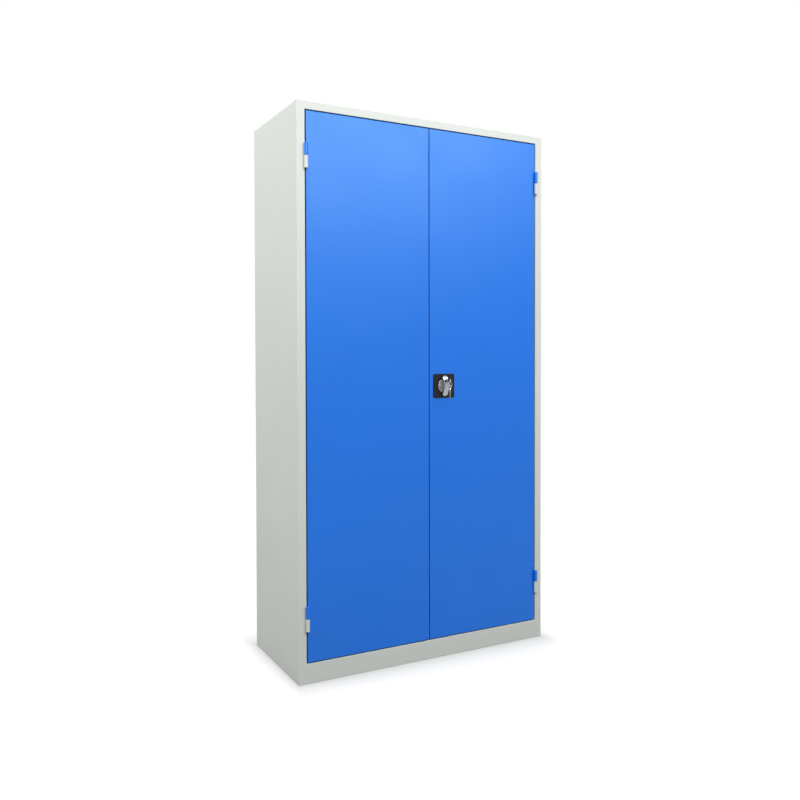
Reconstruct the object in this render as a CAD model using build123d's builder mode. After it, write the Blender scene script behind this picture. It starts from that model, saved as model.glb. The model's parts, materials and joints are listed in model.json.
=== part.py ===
from build123d import *
import os
from math import acos, cos, pi, radians, sin, sqrt, tan

# Tool cabinet with two doors, in millimetres.
# +X to the right, +Y to the back, +Z up.
# The origin is the middle of the four floor-anchor holes, on the floor under the carcass's middle.

# ---------------------------------------------------------------- driving dimensions

# Carcass
height = 1950.0
width = 1000.0
depth = 460.0
sheet = 1.0
fold_radius = 1.5
post_width = 28.5
post_lip = 9.0
back_flange = 20.0
roof_flange = 15.0
header_height = 25.5
plinth_height = 68.0
stop_drop = 14.0
floor_tray_depth = 16.0

# Feet and anchors
base_plate_width = 70.0
base_plate_thickness = 3.0
base_plate_reach = 130.0
floor_anchor_inset_x = 50.0
floor_anchor_inset_y = 65.0
floor_anchor_radius = 5.25
wall_anchor_inset = 100.0
wall_anchor_drop = 100.0
wall_anchor_radius = 4.5

# Shelves
shelf_count = 4
shelf_sheet = 1.0
shelf_height = 30.0
shelf_lip = 12.0
shelf_front_setback = 42.0
shelf_back_gap = 6.0
upright_sheet = 1.2
upright_width = 30.0
upright_depth = 8.0
front_upright_setback = 65.0
rear_upright_setback = 45.0
upright_end_gap = 6.0
slot_pitch = 25.0
slot_height = 11.0
slot_width = 12.0
first_slot_rise = 66.0
slots_below_shelves = 11
slots_between_shelves = 15
clip_sheet = 2.0
clip_width = 10.0
clip_ledge = 15.0
clip_drop = 8.0
clip_tongue = 3.0
clip_hook = 5.0
clip_clearance = 0.3
shelf_clearance = 1.0

# Doors
side_gap = 4.0
head_gap = 4.0
foot_gap = 4.0
centre_gap = 3.0
door_thickness = 20.0
door_sheet = 1.0
door_lip = 14.0
door_edge_radius = 1.2
stop_space = 4.0
stiffener_crown = 44.0
stiffener_flange = 16.0
stiffener_height = 16.0
stiffener_end_gap = 20.0

# Door buffers
buffer_radius = 5.0
buffer_clearance = 0.4
buffer_offset = 60.0

# Hinges
hinge_inset = 150.0
hinge_proud = 7.0
knuckle_radius = 6.5
knuckle_length = 42.0
knuckle_chamfer = 1.2
knuckle_cap = 4.0
hinge_pin_radius = 3.5
hinge_pin_clearance = 0.05
hinge_pin_chamfer = 0.5
hinge_pin_end_gap = 1.0
hinge_washer = 1.0
hinge_play = 0.2
leaf_thickness = 2.3
leaf_end_gap = 3.0
leaf_back_gap = 2.0

# Lock plate
lock_offset = 59.5
lock_height = 994.7
plate_size = 87.0
plate_corner = 6.0
plate_proud = 3.5
plate_rim = 3.0
plate_edge_radius = 1.0
plate_dish = 1.0
plate_spigot_radius = 25.8
spigot_clearance = 0.2
collar_radius = 24.0
collar_bore = 22.0
collar_proud = 5.0
boss_radius = 12.2
channel_floor = 0.7
bearing_radius = 10.0
bearing_clearance = 0.1

# Knob
knob_radius = 25.6
knob_wall = 1.2
knob_back = 2.9
knob_inside = 5.5
knob_front = 7.5
grip_crest = 22.0
grip_end_front = 9.5
grip_width = 24.4
grip_length = 75.5
grip_waist = 21.6
grip_corner = 6.5
grip_corner_radius = 4.0
grip_draft = 12.0
grip_edge_radius = 2.0
knob_travel = 90.0
spindle_size = 8.0

# Lock cylinder
cylinder_offset = 17.0
barrel_seat = 18.6
barrel_seat_radius = 8.2
barrel_boss_radius = 9.2
barrel_radius = 6.5
barrel_flange_radius = 7.6
barrel_flange = 1.0
plug_radius = 4.5
plug_clearance = 0.05
plug_proud = 0.5
plug_square = 5.0
cam_thickness = 1.8
cam_reach = 6.4
cam_width = 5.0
cam_gap = 0.5
notch_clearance = 0.8

# Keys
key_thickness = 2.0
key_bow_radius = 11.0
key_hole_radius = 3.2
key_hole_offset = 7.0
key_neck_width = 9.0
key_blade_width = 7.0
key_blade_length = 16.2
key_reach = 35.5
key_tip_gap = 0.5
key_cut_pitch = 3.2
key_first_cut = 2.6
key_cut_flat = 1.1
key_cut_depths = (1.0, 1.8, 1.4, 0.8)
keyway_clearance = 0.1
ring_radius = 9.8
ring_wire_radius = 1.1
ring_clearance = 0.5
ring_twist = 12.0
spare_key_twist = 112.0

# Rack and pinion
gear_module = 2.0
pinion_teeth = 12
pressure_angle = 20.0
pinion_addendum = 1.6
pinion_dedendum = 1.6
rack_addendum = 1.3
rack_dedendum = 1.9
backlash = 0.3
rack_teeth = 5
flank_steps = 5
bar_body = 8.1
bar_thickness = 5.0
bar_clearance = 0.3
layer_gap = 1.0

# Lock case
case_half_width = 32.0
case_half_height = 35.0
case_wall = 1.5
case_play = 0.9
case_post_x = 27.0
case_post_z = 30.0
case_post_radius = 3.0
journal_front_radius = 9.0
journal_rear_radius = 7.0
journal_clearance = 0.05
journal_reach = 0.5
m3_radius = 1.5
m3_head_radius = 2.8
m3_head_height = 2.0
m3_length = 9.0
plate_screw_offset = 36.0
plate_screw_depth = 2.0
spindle_screw_radius = 2.0
spindle_screw_length = 9.0
spindle_washer_radius = 9.0
spindle_washer = 1.0
spindle_head_radius = 4.0
spindle_head_height = 2.6

# Rods, bolts and what guides them
rod_end_gap = 1.5
rod_chamfer = 1.0
guide_wall = 4.0
guide_back_wall = 2.0
guide_height = 12.0
guide_near = 300.0
guide_far = 220.0
hole_clearance = 0.8
keeper_thickness = 1.5
keeper_margin = 6.0
bolt_offset = 30.0
bolt_width = 12.0
bolt_length = 220.0
bolt_guide_near = 40.0
bolt_guide_far = 130.0
thumb_tab_reach = 17.0
thumb_tab_thickness = 3.0
thumb_tab_radius = 5.0
side_keeper_height = 40.0
side_keeper_depth = 16.0

# ---------------------------------------------------------------- places worked out from them

front = -depth / 2
back = depth / 2
inner_side = width / 2 - sheet
floor_anchor_spacing_x = width - 2 * floor_anchor_inset_x
floor_anchor_spacing_y = depth - 2 * floor_anchor_inset_y
wall_anchor_spacing = width - 2 * wall_anchor_inset
opening_x = width / 2 - post_width
opening_top = height - header_height
opening_bottom = plinth_height
roof_under = height - sheet

door_outer_x = opening_x - side_gap
door_inner_x = centre_gap / 2
door_top = opening_top - head_gap
door_bottom = opening_bottom + foot_gap
door_back = front + door_thickness
door_inside = front + door_sheet
stop_y = door_back + stop_space
door_middle_x = (door_inner_x + door_outer_x) / 2

floor_top = plinth_height + floor_tray_depth
back_panel_front = back - 2 * sheet
back_panel_x = inner_side - (fold_radius - sheet)
web_x = inner_side - upright_depth
front_upright_y = front + front_upright_setback
rear_upright_y = back - rear_upright_setback
upright_bottom = floor_top + upright_end_gap
upright_top = roof_under - upright_end_gap - stop_drop
first_slot = floor_top + first_slot_rise
slot_count = int((upright_top - slot_height - first_slot) / slot_pitch)
shelf_half_width = web_x - clip_sheet - shelf_clearance
shelf_front = front + shelf_front_setback
shelf_back = back_panel_front - shelf_back_gap
first_shelf = first_slot + slot_pitch * slots_below_shelves
shelf_slots = [first_shelf + slot_pitch * slots_between_shelves * n for n in range(shelf_count)]
shelf_bottoms = [slot - clip_drop for slot in shelf_slots]

hinge_x = opening_x - side_gap / 2
hinge_y = front - hinge_proud
hinge_heights = {"top": door_top - hinge_inset, "bottom": door_bottom + hinge_inset}

lock_x = lock_offset
lock_z = lock_height
cylinder_z = lock_z + cylinder_offset
plug_front = front - barrel_seat - barrel_flange - plug_proud
cam_front = front - channel_floor - cam_gap - cam_thickness
keyway_end = cam_front - key_tip_gap
key_tip_y = keyway_end - key_tip_gap
key_bow_y = key_tip_y - key_reach
ring_y = key_bow_y - key_hole_offset
ring_top_z = cylinder_z - key_hole_radius + ring_wire_radius + ring_clearance
ring_z = ring_top_z - ring_radius
spare_hole_z = ring_z - ring_radius + ring_wire_radius + ring_clearance - key_hole_radius
spare_bow_z = spare_hole_z - key_hole_offset

pitch_radius = gear_module * pinion_teeth / 2
tooth_pitch = pi * gear_module
tooth_thickness = tooth_pitch / 2 - backlash / 2
rack_end = tooth_pitch * (rack_teeth - 1)
bar_root = pitch_radius + rack_dedendum
bar_outer = bar_root + bar_body
rod_travel = pitch_radius * radians(knob_travel)

case_front = door_inside
rod_layer = case_front + case_wall + layer_gap
bolt_layer = rod_layer + bar_thickness + layer_gap
cover_front = bolt_layer + bar_thickness + layer_gap
cover_back = cover_front + case_wall
pinion_front = case_front + case_wall + case_play
pinion_back = cover_front - case_play
rod_top = door_top - rod_end_gap
rod_bottom = door_bottom + rod_end_gap
bar_middle = (bar_root + bar_outer) / 2
rod_middle_y = rod_layer + bar_thickness / 2
bolt_middle_y = bolt_layer + bar_thickness / 2

os.makedirs("parts", exist_ok=True)


# ---------------------------------------------------------------- shared shapes

def folded_outline(points, thickness):
    """Section of a sheet folded along points, thickened to the left of travel."""
    with BuildSketch(mode=Mode.PRIVATE) as outline:
        with BuildLine():
            FilletPolyline(*points, radius=fold_radius)
            offset(amount=thickness, side=Side.LEFT)
        make_face()
    return outline.sketch


def box_between(low, high, mode=Mode.ADD):
    """A box from its lowest to its highest corner."""
    size = [b - a for a, b in zip(low, high)]
    middle = tuple((a + b) / 2 for a, b in zip(low, high))
    with Locations(middle):
        Box(*size, mode=mode)


def facing(y):
    """Sketch plane at y that looks out of the front: local x is X, local y is Z, and it extrudes to -Y."""
    return Plane(origin=(0, y, 0), x_dir=(1, 0, 0), z_dir=(0, -1, 0))


def involute_tooth():
    """Half angle of a pinion tooth at each radius of its flank."""
    alpha = radians(pressure_angle)
    base = pitch_radius * cos(alpha)
    outer = pitch_radius + pinion_addendum
    at_pitch = tooth_thickness / (2 * pitch_radius) + tan(alpha) - alpha
    flank = []
    for step in range(flank_steps + 1):
        radius = base + (outer - base) * step / flank_steps
        angle = acos(min(1.0, base / radius))
        flank.append((radius, at_pitch - (tan(angle) - angle)))
    return flank


# ---------------------------------------------------------------- carcass

# Each side panel is one sheet: back flange, side, front post, its return along the door, and a lip.
# The return and the lip stop below the roof's folded edge.
with BuildPart() as side_panel_left:
    with BuildSketch(Plane.XY):
        add(folded_outline([
            (-width / 2 + back_flange, back),
            (-width / 2, back),
            (-width / 2, front),
            (-opening_x, front),
            (-opening_x, door_back),
            (-opening_x - post_lip, door_back),
        ], sheet))
    extrude(amount=height)
    box_between(
        (-inner_side, front + sheet, height - roof_flange),
        (-opening_x, door_back, height),
        mode=Mode.SUBTRACT,
    )
side_panel_left.part.label = "side_panel_left"
export_step(side_panel_left.part, "parts/side_panel_left.step")

with BuildPart() as side_panel_right:
    mirror(side_panel_left.part, about=Plane.YZ)
side_panel_right.part.label = "side_panel_right"
export_step(side_panel_right.part, "parts/side_panel_right.step")

# The back panel lies inside the side panels' back flanges and has two holes for wall anchors.
with BuildPart() as back_panel:
    box_between((-back_panel_x, back_panel_front, 0), (back_panel_x, back - sheet, height))
    with BuildSketch(facing(back - sheet)):
        with Locations((0, height - wall_anchor_drop)):
            with GridLocations(wall_anchor_spacing, 0, 2, 1):
                Circle(wall_anchor_radius)
    extrude(amount=sheet, mode=Mode.SUBTRACT)
back_panel.part.label = "back_panel"
export_step(back_panel.part, "parts/back_panel.step")

# The roof is a pan with its edges folded down, set in flush between the panels and the header rail.
with BuildPart() as roof_panel:
    box_between((-inner_side, front + sheet, height - roof_flange), (inner_side, back_panel_front, height))
    fillet(roof_panel.edges().filter_by(Axis.Z), fold_radius)
    fillet(roof_panel.faces().sort_by(Axis.Z)[-1].edges(), fold_radius)
    box_between(
        (-inner_side + sheet, front + 2 * sheet, height - roof_flange),
        (inner_side - sheet, back_panel_front - sheet, roof_under),
        mode=Mode.SUBTRACT,
    )
roof_panel.part.label = "roof_panel"
export_step(roof_panel.part, "parts/roof_panel.step")

# Bars that leave a door pass into the frame here: (x, width in x).
bar_places = [
    (lock_x - bar_middle, bar_body, "top"),
    (lock_x + bar_middle, bar_body, "bottom"),
    (-bolt_offset, bolt_width, "top"),
    (-bolt_offset, bolt_width, "bottom"),
]


def cut_bar_holes(end, low, high):
    """Holes for the bars that leave the doors at one end, between two heights."""
    for x, bar_width, bar_end in bar_places:
        if bar_end == end:
            half_x = bar_width / 2 + hole_clearance
            half_y = bar_thickness / 2 + hole_clearance
            box_between(
                (x - half_x, rod_middle_y - half_y, low),
                (x + half_x, rod_middle_y + half_y, high),
                mode=Mode.SUBTRACT,
            )


# The header rail folds back over the doors and down again behind them as a door stop.
with BuildPart() as header_rail:
    with BuildSketch(Plane.YZ.offset(-opening_x)):
        add(folded_outline([
            (front, height),
            (front, opening_top),
            (stop_y, opening_top),
            (stop_y, opening_top - stop_drop),
        ], sheet))
    extrude(amount=2 * opening_x)
    cut_bar_holes("top", opening_top, opening_top + sheet)
header_rail.part.label = "header_rail"
export_step(header_rail.part, "parts/header_rail.step")

with BuildPart() as plinth:
    with BuildSketch(Plane.YZ.offset(-opening_x)):
        add(folded_outline([
            (stop_y + sheet, plinth_height),
            (front, plinth_height),
            (front, 0),
            (stop_y + sheet, 0),
        ], sheet))
    extrude(amount=2 * opening_x)
    cut_bar_holes("bottom", plinth_height - sheet, plinth_height)
plinth.part.label = "plinth"
export_step(plinth.part, "parts/plinth.step")

# The floor panel is an upturned tray; its front edge is the lower door stop.
with BuildPart() as floor_panel:
    box_between((-inner_side, stop_y, plinth_height), (inner_side, back_panel_front, floor_top))
    box_between(
        (-inner_side + sheet, stop_y + sheet, plinth_height),
        (inner_side - sheet, back_panel_front - sheet, floor_top - sheet),
        mode=Mode.SUBTRACT,
    )
floor_panel.part.label = "floor_panel"
export_step(floor_panel.part, "parts/floor_panel.step")

# Four base plates in the corners carry the floor-anchor holes.
with BuildPart() as base_plates:
    for side in (-1, 1):
        outer_x = side * inner_side
        plate_x = sorted((outer_x, outer_x - side * base_plate_width))
        for plate_y in ((stop_y + sheet, -base_plate_reach), (base_plate_reach, back_panel_front)):
            box_between((plate_x[0], plate_y[0], 0), (plate_x[1], plate_y[1], base_plate_thickness))
    with BuildSketch(Plane.XY):
        with GridLocations(floor_anchor_spacing_x, floor_anchor_spacing_y, 2, 2):
            Circle(floor_anchor_radius)
    extrude(amount=base_plate_thickness, mode=Mode.SUBTRACT)
base_plates.part.label = "base_plates"
export_step(base_plates.part, "parts/base_plates.step")

# Keepers behind the frame's bar holes take the wear of the bars.
with BuildPart() as frame_keepers:
    for x, bar_width, bar_end in bar_places:
        keeper_z = opening_top + sheet if bar_end == "top" else plinth_height - sheet - keeper_thickness
        half_x = bar_width / 2 + hole_clearance
        half_y = bar_thickness / 2 + hole_clearance
        box_between(
            (x - half_x - keeper_margin, door_inside + sheet, keeper_z),
            (x + half_x + keeper_margin, stop_y - keeper_margin, keeper_z + keeper_thickness),
        )
        box_between(
            (x - half_x, rod_middle_y - half_y, keeper_z),
            (x + half_x, rod_middle_y + half_y, keeper_z + keeper_thickness),
            mode=Mode.SUBTRACT,
        )
frame_keepers.part.label = "frame_keepers"
export_step(frame_keepers.part, "parts/frame_keepers.step")

with BuildPart() as door_buffers:
    with BuildSketch(facing(stop_y)):
        with Locations((0, opening_top - stop_drop / 2), (0, plinth_height + floor_tray_depth / 2)):
            with GridLocations(2 * buffer_offset, 0, 2, 1):
                Circle(buffer_radius)
    extrude(amount=stop_space - buffer_clearance)
door_buffers.part.label = "door_buffers"
export_step(door_buffers.part, "parts/door_buffers.step")

# ---------------------------------------------------------------- shelves

for row, upright_y in (("front", front_upright_y), ("rear", rear_upright_y)):
    with BuildPart() as shelf_upright_left:
        with BuildSketch(Plane.XY.offset(upright_bottom)):
            add(folded_outline([
                (-inner_side, upright_y - upright_width / 2),
                (-web_x, upright_y - upright_width / 2),
                (-web_x, upright_y + upright_width / 2),
                (-inner_side, upright_y + upright_width / 2),
            ], upright_sheet))
        extrude(amount=upright_top - upright_bottom)
        slot_middle = first_slot + slot_height / 2
        with Locations(*[(-web_x, upright_y, slot_middle + slot_pitch * n) for n in range(slot_count)]):
            Box(4 * upright_sheet, slot_width, slot_height, mode=Mode.SUBTRACT)
    shelf_upright_left.part.label = f"shelf_upright_{row}_left"
    export_step(shelf_upright_left.part, f"parts/shelf_upright_{row}_left.step")

    with BuildPart() as shelf_upright_right:
        mirror(shelf_upright_left.part, about=Plane.YZ)
    shelf_upright_right.part.label = f"shelf_upright_{row}_right"
    export_step(shelf_upright_right.part, f"parts/shelf_upright_{row}_right.step")

# A clip hooks through a slot, drops behind the web, and holds the shelf on its ledge.
with BuildPart() as shelf_clips:
    for upright_y in (front_upright_y, rear_upright_y):
        for slot in shelf_slots:
            hook_x = -web_x - upright_sheet - clip_clearance
            with BuildSketch(facing(upright_y + clip_width / 2)):
                with BuildLine():
                    Polyline(
                        (hook_x, slot - clip_hook),
                        (hook_x - clip_sheet, slot - clip_hook),
                        (hook_x - clip_sheet, slot + clip_tongue),
                        (-web_x + clip_sheet, slot + clip_tongue),
                        (-web_x + clip_sheet, slot - clip_drop),
                        (-web_x + clip_sheet + clip_ledge, slot - clip_drop),
                        (-web_x + clip_sheet + clip_ledge, slot - clip_drop - clip_sheet),
                        (-web_x, slot - clip_drop - clip_sheet),
                        (-web_x, slot),
                        (hook_x, slot),
                        close=True,
                    )
                make_face()
            extrude(amount=clip_width)
    mirror(about=Plane.YZ)
shelf_clips.part.label = "shelf_clips"
export_step(shelf_clips.part, "parts/shelf_clips.step")

# Each shelf is a tray with its edges folded down and a lip folded in all round.
for number, shelf_bottom in enumerate(shelf_bottoms, start=1):
    with BuildPart() as shelf:
        shelf_under = shelf_bottom + shelf_height - shelf_sheet
        box_between(
            (-shelf_half_width, shelf_front, shelf_bottom),
            (shelf_half_width, shelf_back, shelf_bottom + shelf_height),
        )
        fillet(shelf.faces().sort_by(Axis.Z)[-1].edges(), fold_radius)
        box_between(
            (-shelf_half_width + shelf_sheet, shelf_front + shelf_sheet, shelf_bottom + shelf_sheet),
            (shelf_half_width - shelf_sheet, shelf_back - shelf_sheet, shelf_under),
            mode=Mode.SUBTRACT,
        )
        box_between(
            (-shelf_half_width + shelf_lip, shelf_front + shelf_lip, shelf_bottom),
            (shelf_half_width - shelf_lip, shelf_back - shelf_lip, shelf_bottom + shelf_sheet),
            mode=Mode.SUBTRACT,
        )
    shelf.part.label = f"shelf_{number}"
    export_step(shelf.part, f"parts/shelf_{number}.step")

# ---------------------------------------------------------------- hinges


def knuckle(side, z, leaf_x, capped):
    """A barrel on the hinge axis with its bore and the leaf that runs back through the gap."""
    bore_radius = hinge_pin_radius + (hinge_pin_clearance if capped else 0)
    bore_depth = knuckle_length - (knuckle_cap if capped else 0)
    with BuildPart() as barrel:
        with BuildSketch(Plane.XY.offset(z)):
            with Locations((side * hinge_x, hinge_y)):
                Circle(knuckle_radius)
        extrude(amount=knuckle_length)
        chamfer(barrel.edges().filter_by(GeomType.CIRCLE), knuckle_chamfer)
        box_between(
            (min(leaf_x), hinge_y, z + leaf_end_gap),
            (max(leaf_x), door_back - leaf_back_gap, z + knuckle_length - leaf_end_gap),
        )
        with BuildSketch(Plane.XY.offset(z)):
            with Locations((side * hinge_x, hinge_y)):
                Circle(bore_radius)
        extrude(amount=bore_depth, mode=Mode.SUBTRACT)
    return barrel


for side, side_name in ((-1, "left"), (1, "right")):
    for place, hinge_z in hinge_heights.items():
        frame_leaf_x = (side * opening_x, side * (opening_x - leaf_thickness))
        frame_knuckle_z = hinge_z - hinge_washer / 2 - knuckle_length
        frame_knuckle = knuckle(side, frame_knuckle_z, frame_leaf_x, capped=False)
        frame_knuckle.part.label = f"{side_name}_{place}_frame_knuckle"
        export_step(frame_knuckle.part, f"parts/{side_name}_{place}_frame_knuckle.step")

        door_leaf_x = (side * door_outer_x, side * (door_outer_x + leaf_thickness))
        door_knuckle_z = hinge_z + hinge_washer / 2 + hinge_play
        door_knuckle = knuckle(side, door_knuckle_z, door_leaf_x, capped=True)
        door_knuckle.part.label = f"{side_name}_{place}_door_knuckle"
        export_step(door_knuckle.part, f"parts/{side_name}_{place}_door_knuckle.step")

with BuildPart() as hinge_pins:
    for hinge_z in hinge_heights.values():
        pin_bottom = hinge_z - hinge_washer / 2 - knuckle_length
        pin_top = hinge_z + hinge_washer / 2 + knuckle_length - knuckle_cap - hinge_pin_end_gap
        with BuildSketch(Plane.XY.offset(pin_bottom)):
            with Locations((-hinge_x, hinge_y), (hinge_x, hinge_y)):
                Circle(hinge_pin_radius)
        extrude(amount=pin_top - pin_bottom)
    chamfer(hinge_pins.edges().filter_by(GeomType.CIRCLE), hinge_pin_chamfer)
hinge_pins.part.label = "hinge_pins"
export_step(hinge_pins.part, "parts/hinge_pins.step")

with BuildPart() as hinge_washers:
    for hinge_z in hinge_heights.values():
        with BuildSketch(Plane.XY.offset(hinge_z - hinge_washer / 2)):
            with Locations((-hinge_x, hinge_y), (hinge_x, hinge_y)):
                Circle(knuckle_radius - knuckle_chamfer)
                Circle(hinge_pin_radius, mode=Mode.SUBTRACT)
        extrude(amount=hinge_washer)
hinge_washers.part.label = "hinge_washers"
export_step(hinge_washers.part, "parts/hinge_washers.step")

# ---------------------------------------------------------------- doors


def door_pan(side):
    """A sheet folded back on all four sides with a lip folded in, open at the back."""
    inner, outer = side * door_inner_x, side * door_outer_x
    low_x, high_x = min(inner, outer), max(inner, outer)
    box_between((low_x, front, door_bottom), (high_x, door_back, door_top))
    fillet(faces().sort_by(Axis.Y)[0].edges(), door_edge_radius)
    box_between(
        (low_x + door_sheet, door_inside, door_bottom + door_sheet),
        (high_x - door_sheet, door_back - door_sheet, door_top - door_sheet),
        mode=Mode.SUBTRACT,
    )
    box_between(
        (low_x + door_lip, door_back - door_sheet, door_bottom + door_lip),
        (high_x - door_lip, door_back, door_top - door_lip),
        mode=Mode.SUBTRACT,
    )


def side_bolt_slot(low_x, high_x, clearance):
    """The side bolt's way through an upright wall between two places in x."""
    box_between(
        (low_x, bolt_layer - clearance, lock_z - bar_outer - clearance),
        (high_x, bolt_layer + bar_thickness + clearance, lock_z - bar_root + clearance),
        mode=Mode.SUBTRACT,
    )


with BuildPart() as left_door_skin:
    door_pan(-1)
    side_bolt_slot(-door_inner_x - door_sheet, -door_inner_x, hole_clearance)
    for end_low in (door_bottom, door_top - door_sheet):
        box_between(
            (-bolt_offset - bolt_width / 2 - hole_clearance, rod_layer - hole_clearance, end_low),
            (-bolt_offset + bolt_width / 2 + hole_clearance, rod_layer + bar_thickness + hole_clearance,
             end_low + door_sheet),
            mode=Mode.SUBTRACT,
        )
left_door_skin.part.label = "left_door_skin"
export_step(left_door_skin.part, "parts/left_door_skin.step")

with BuildPart() as right_door_skin:
    door_pan(1)
    side_bolt_slot(door_inner_x, door_inner_x + door_sheet, hole_clearance)
    for rod_x, end_low in ((lock_x - bar_middle, door_top - door_sheet), (lock_x + bar_middle, door_bottom)):
        box_between(
            (rod_x - bar_body / 2 - hole_clearance, rod_layer - hole_clearance, end_low),
            (rod_x + bar_body / 2 + hole_clearance, rod_layer + bar_thickness + hole_clearance,
             end_low + door_sheet),
            mode=Mode.SUBTRACT,
        )
    with BuildSketch(facing(door_inside)):
        with Locations((lock_x, lock_z)):
            Circle(plate_spigot_radius + spigot_clearance)
            with GridLocations(2 * plate_screw_offset, 2 * plate_screw_offset, 2, 2):
                Circle(m3_radius + spigot_clearance)
    extrude(amount=door_sheet, mode=Mode.SUBTRACT)
right_door_skin.part.label = "right_door_skin"
export_step(right_door_skin.part, "parts/right_door_skin.step")

# A hat-section stiffener runs up the middle of each door, welded to the skin.
for side, side_name in ((-1, "left"), (1, "right")):
    with BuildPart() as stiffener:
        middle_x = side * door_middle_x
        half_crown = stiffener_crown / 2
        crown_y = door_inside + stiffener_height
        with BuildSketch(Plane.XY.offset(door_bottom + stiffener_end_gap)):
            add(folded_outline([
                (middle_x - half_crown - stiffener_flange, door_inside),
                (middle_x - half_crown, door_inside),
                (middle_x - half_crown, crown_y),
                (middle_x + half_crown, crown_y),
                (middle_x + half_crown, door_inside),
                (middle_x + half_crown + stiffener_flange, door_inside),
            ], sheet))
        extrude(amount=door_top - door_bottom - 2 * stiffener_end_gap)
    stiffener.part.label = f"{side_name}_door_stiffener"
    export_step(stiffener.part, f"parts/{side_name}_door_stiffener.step")


def bar_guide(x, z, bar_width):
    """A block on the door's inside with a slot that a bar slides through."""
    half_x = bar_width / 2 + bar_clearance
    slot_back = rod_layer + bar_thickness + bar_clearance
    box_between(
        (x - half_x - guide_wall, door_inside, z - guide_height / 2),
        (x + half_x + guide_wall, slot_back + guide_back_wall, z + guide_height / 2),
    )
    box_between(
        (x - half_x, rod_layer - bar_clearance, z - guide_height / 2),
        (x + half_x, slot_back, z + guide_height / 2),
        mode=Mode.SUBTRACT,
    )


with BuildPart() as bolt_guides:
    for end, inward in ((door_top, -1), (door_bottom, 1)):
        for distance in (bolt_guide_near, bolt_guide_far):
            bar_guide(-bolt_offset, end + inward * distance, bolt_width)
bolt_guides.part.label = "bolt_guides"
export_step(bolt_guides.part, "parts/bolt_guides.step")

with BuildPart() as rod_guides:
    for guide_z in (door_top - guide_far, lock_z + guide_near):
        bar_guide(lock_x - bar_middle, guide_z, bar_body)
    for guide_z in (door_bottom + guide_far, lock_z - guide_near):
        bar_guide(lock_x + bar_middle, guide_z, bar_body)
rod_guides.part.label = "rod_guides"
export_step(rod_guides.part, "parts/rod_guides.step")

# Shoot bolts hold the left door: a flat bar with a thumb tab at its inner end.
for bolt_name, tip_z, inward in (("left_upper_bolt", rod_top, -1), ("left_lower_bolt", rod_bottom, 1)):
    with BuildPart() as shoot_bolt:
        inner_z = tip_z + inward * bolt_length
        box_between(
            (-bolt_offset - bolt_width / 2, rod_layer, min(tip_z, inner_z)),
            (-bolt_offset + bolt_width / 2, rod_layer + bar_thickness, max(tip_z, inner_z)),
        )
        tip_face = shoot_bolt.faces().sort_by(Axis.Z)[-1 if inward < 0 else 0]
        chamfer(tip_face.edges(), rod_chamfer)
        tab_z = sorted((inner_z, inner_z - inward * thumb_tab_thickness))
        box_between(
            (-bolt_offset - bolt_width / 2, rod_layer, tab_z[0]),
            (-bolt_offset + bolt_width / 2, rod_layer + bar_thickness + thumb_tab_reach, tab_z[1]),
        )
        tab_corners = shoot_bolt.edges().filter_by(Axis.Z).group_by(Axis.Y)[-1]
        fillet(tab_corners, thumb_tab_radius)
    shoot_bolt.part.label = bolt_name
    export_step(shoot_bolt.part, f"parts/{bolt_name}.step")

# The strike plate inside the left door's edge takes the side bolt.
with BuildPart() as side_bolt_strike:
    strike_z = lock_z - bar_middle
    box_between(
        (-door_inner_x - door_sheet - keeper_thickness, door_inside, strike_z - side_keeper_height / 2),
        (-door_inner_x - door_sheet, door_inside + side_keeper_depth, strike_z + side_keeper_height / 2),
    )
    side_bolt_slot(-door_inner_x - door_sheet - keeper_thickness, -door_inner_x - door_sheet, hole_clearance)
side_bolt_strike.part.label = "side_bolt_strike"
export_step(side_bolt_strike.part, "parts/side_bolt_strike.step")

# ---------------------------------------------------------------- lock plate and knob

# The lock plate is dished, with a collar that the lock cam catches in at two knob positions.
with BuildPart() as lock_plate:
    with BuildSketch(facing(front)):
        with Locations((lock_x, lock_z)):
            RectangleRounded(plate_size, plate_size, plate_corner)
    extrude(amount=plate_proud)
    fillet(lock_plate.faces().sort_by(Axis.Y)[0].edges(), plate_edge_radius)
    dish_y = front - plate_proud + plate_dish
    dish_size = plate_size - 2 * plate_rim
    with BuildSketch(facing(dish_y)):
        with Locations((lock_x, lock_z)):
            RectangleRounded(dish_size, dish_size, plate_corner - plate_rim)
    extrude(amount=plate_dish, mode=Mode.SUBTRACT)
    with BuildSketch(facing(dish_y)):
        with Locations((lock_x, lock_z)):
            Circle(collar_radius)
    extrude(amount=dish_y - front + collar_proud)
    with BuildSketch(facing(door_inside)):
        with Locations((lock_x, lock_z)):
            Circle(plate_spigot_radius)
    extrude(amount=door_sheet)
    with BuildSketch(facing(front - channel_floor)):
        with Locations((lock_x, lock_z)):
            Circle(collar_bore)
            Circle(boss_radius, mode=Mode.SUBTRACT)
    extrude(amount=collar_proud, mode=Mode.SUBTRACT)
    with BuildSketch(facing(door_inside)):
        with Locations((lock_x, lock_z)):
            Circle(bearing_radius)
    extrude(amount=door_sheet + collar_proud, mode=Mode.SUBTRACT)
    near = cam_width / 2 + notch_clearance
    far = cam_reach + notch_clearance
    box_between(
        (lock_x - near, front - collar_proud, cylinder_z),
        (lock_x + far, front - channel_floor, cylinder_z + far),
        mode=Mode.SUBTRACT,
    )
    box_between(
        (lock_x + cylinder_offset, front - collar_proud, lock_z - far),
        (lock_x + cylinder_offset + far, front - channel_floor, lock_z + near),
        mode=Mode.SUBTRACT,
    )
    with BuildSketch(facing(front)):
        with Locations((lock_x, lock_z)):
            with GridLocations(2 * plate_screw_offset, 2 * plate_screw_offset, 2, 2):
                Circle(m3_radius)
    extrude(amount=plate_screw_depth, mode=Mode.SUBTRACT)
lock_plate.part.label = "lock_plate"
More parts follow.
